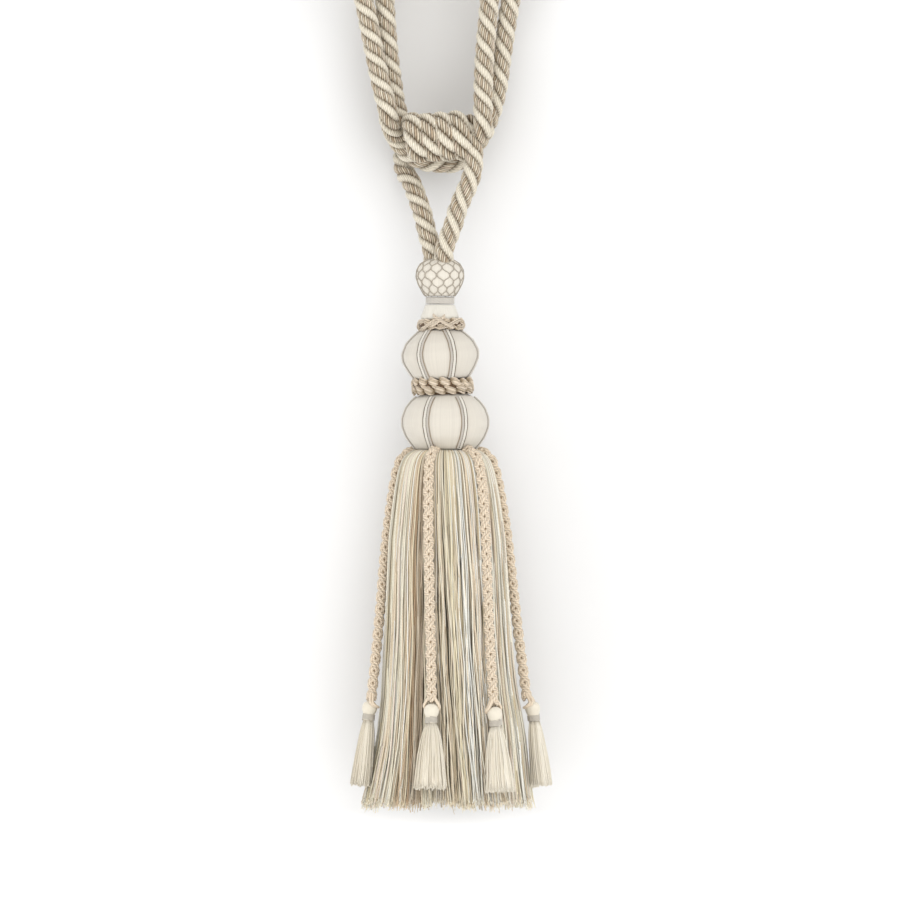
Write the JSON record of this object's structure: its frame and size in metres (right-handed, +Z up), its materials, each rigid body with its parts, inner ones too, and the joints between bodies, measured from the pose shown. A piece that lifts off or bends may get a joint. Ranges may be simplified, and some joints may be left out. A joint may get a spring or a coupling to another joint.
{
  "type": "curtain tieback with key tassel",
  "caption": "Twisted rope curtain tieback with a wrapped knot, a bulbous covered head, a long cut fringe skirt and small tassels on braids.",
  "frame": {"origin": "the point at the top of the rope's end loops where whatever holds the tieback pulls, on the tassel's own axis", "axes": "+Z up along the hanging tassel, +X to the right seen from the front, the front faces -Y"},
  "size_m": [0.1347, 0.1051, 0.506],
  "materials": {
    "rope": "four-ply rope, cream and taupe yarn",
    "netted_thread": "ivory thread under a taupe gimp net",
    "grey_binding": "pale grey-taupe satin thread, tightly wound",
    "ivory_thread": "vertical ivory satin thread",
    "ruff_cord": "taupe looped cord",
    "skirt_yarn": "cut yarn in cream, ecru, taupe, tan and grey",
    "braid": "cream plaited cord",
    "cream_fringe": "cream cut thread",
    "rib_cord": "pairs of thin twisted cord, one grey and one pale"
  },
  "bodies": {
    "root": {"embrace_left": "rope", "embrace_right": "rope", "leg_left": "rope", "leg_right": "rope", "knot": "rope", "ball": "netted_thread", "ball_band": "grey_binding", "neck": "ivory_thread", "upper_ruff": "ruff_cord", "upper_bulb": "ivory_thread", "lower_ruff": "ruff_cord", "lower_bulb": "ivory_thread", "skirt": "skirt_yarn", "hanger_1": "braid", "small_tassel_1": "cream_fringe", "small_band_1": "grey_binding", "upper_rib_1": "rib_cord", "lower_rib_1": "rib_cord", "hanger_2": "braid", "small_tassel_2": "cream_fringe", "small_band_2": "grey_binding", "upper_rib_2": "rib_cord", "lower_rib_2": "rib_cord", "hanger_3": "braid", "small_tassel_3": "cream_fringe", "small_band_3": "grey_binding", "upper_rib_3": "rib_cord", "lower_rib_3": "rib_cord", "hanger_4": "braid", "small_tassel_4": "cream_fringe", "small_band_4": "grey_binding", "upper_rib_4": "rib_cord", "lower_rib_4": "rib_cord", "hanger_5": "braid", "small_tassel_5": "cream_fringe", "small_band_5": "grey_binding", "upper_rib_5": "rib_cord", "lower_rib_5": "rib_cord", "hanger_6": "braid", "small_tassel_6": "cream_fringe", "small_band_6": "grey_binding", "upper_rib_6": "rib_cord", "lower_rib_6": "rib_cord"}
  },
  "joints": []
}
